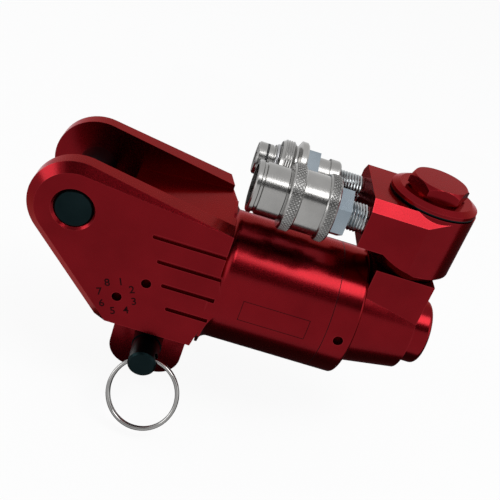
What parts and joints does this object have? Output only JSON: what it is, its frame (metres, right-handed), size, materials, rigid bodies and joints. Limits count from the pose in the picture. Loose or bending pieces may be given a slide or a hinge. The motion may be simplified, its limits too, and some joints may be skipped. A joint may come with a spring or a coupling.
{
  "type": "hydraulic torque wrench",
  "caption": "Low-profile hydraulic torque wrench drive unit: red fork with link pin, cylinder and ram, two-axis hose swivel with screw couplers, and a pull pin with ring.",
  "frame": {"origin": "centre of the link pin, midway between the fork plates", "axes": "+X along the cylinder towards the hose end, +Y across the fork to the far plate, +Z from the cylinder towards the hose swivel"},
  "size_m": [0.1684, 0.0731, 0.1224],
  "materials": {
    "red_body": "red anodised, satin",
    "black_oxide": "black oxide",
    "zinc": "zinc plated, bright",
    "steel": "machined",
    "chrome": "polished",
    "bronze": "machined",
    "seal": "matte",
    "guide": "matte"
  },
  "bodies": {
    "housing": {"fork_housing": "red_body", "link_pin": "black_oxide", "rod_bush": "bronze", "rod_seal": "seal", "rod_wiper": "seal", "end_cap": "red_body", "cap_seal": "seal", "rear_cap": "red_body", "pin_bush": "bronze"},
    "ram": {"piston": "steel", "piston_rod": "chrome", "rod_head": "steel", "piston_seal": "seal", "piston_guide": "guide", "piston_nut": "steel"},
    "swivel": {"swivel_block": "red_body", "swivel_seals": "seal", "post": "red_body", "post_washer": "steel", "post_seals": "seal"},
    "manifold": {"manifold": "red_body", "near_body": "zinc", "near_clip": "steel", "near_seal": "seal", "far_body": "zinc", "far_clip": "steel", "far_seal": "seal"},
    "near_collar": {"near_collar": "zinc"},
    "far_collar": {"far_collar": "zinc"},
    "near_poppet": {"near_poppet": "steel"},
    "far_poppet": {"far_poppet": "steel"},
    "pull_pin": {"pull_pin": "black_oxide"},
    "pull_ring": {"pull_ring": "chrome"}
  },
  "joints": [
    {"name": "ram_stroke", "type": "slide", "parent": "housing", "child": "ram", "axis": [-1, 0, 0], "range_m": [0, 0.024]},
    {"name": "swivel_turn", "type": "hinge", "parent": "housing", "child": "swivel", "pos_m": [0.1297, 0, -0.0226], "axis": [1, 0, 0], "continuous": true},
    {"name": "manifold_turn", "type": "hinge", "parent": "swivel", "child": "manifold", "pos_m": [0.1297, 0, 0.0252], "axis": [0, 0, 1], "continuous": true},
    {"name": "near_collar_turn", "type": "hinge", "parent": "manifold", "child": "near_collar", "pos_m": [0.0754, -0.0136, 0.0252], "axis": [1, 0, 0], "continuous": true},
    {"name": "far_collar_turn", "type": "hinge", "parent": "manifold", "child": "far_collar", "pos_m": [0.0744, 0.0136, 0.0252], "axis": [1, 0, 0], "continuous": true},
    {"name": "near_valve", "type": "slide", "parent": "manifold", "child": "near_poppet", "axis": [1, 0, 0], "range_m": [0, 0.0025], "stiffness_N_per_m": 1500, "springref_m": -0.003},
    {"name": "far_valve", "type": "slide", "parent": "manifold", "child": "far_poppet", "axis": [1, 0, 0], "range_m": [0, 0.0025], "stiffness_N_per_m": 1500, "springref_m": -0.003},
    {"name": "pin_pull", "type": "slide", "parent": "housing", "child": "pull_pin", "axis": [0, -1, 0], "range_m": [0, 0.017]},
    {"name": "ring_swing", "type": "hinge", "parent": "pull_pin", "child": "pull_ring", "pos_m": [0.0411, -0.031, -0.0538], "axis": [0.9455, 0, 0.3256], "range_deg": [-50, 55]}
  ]
}
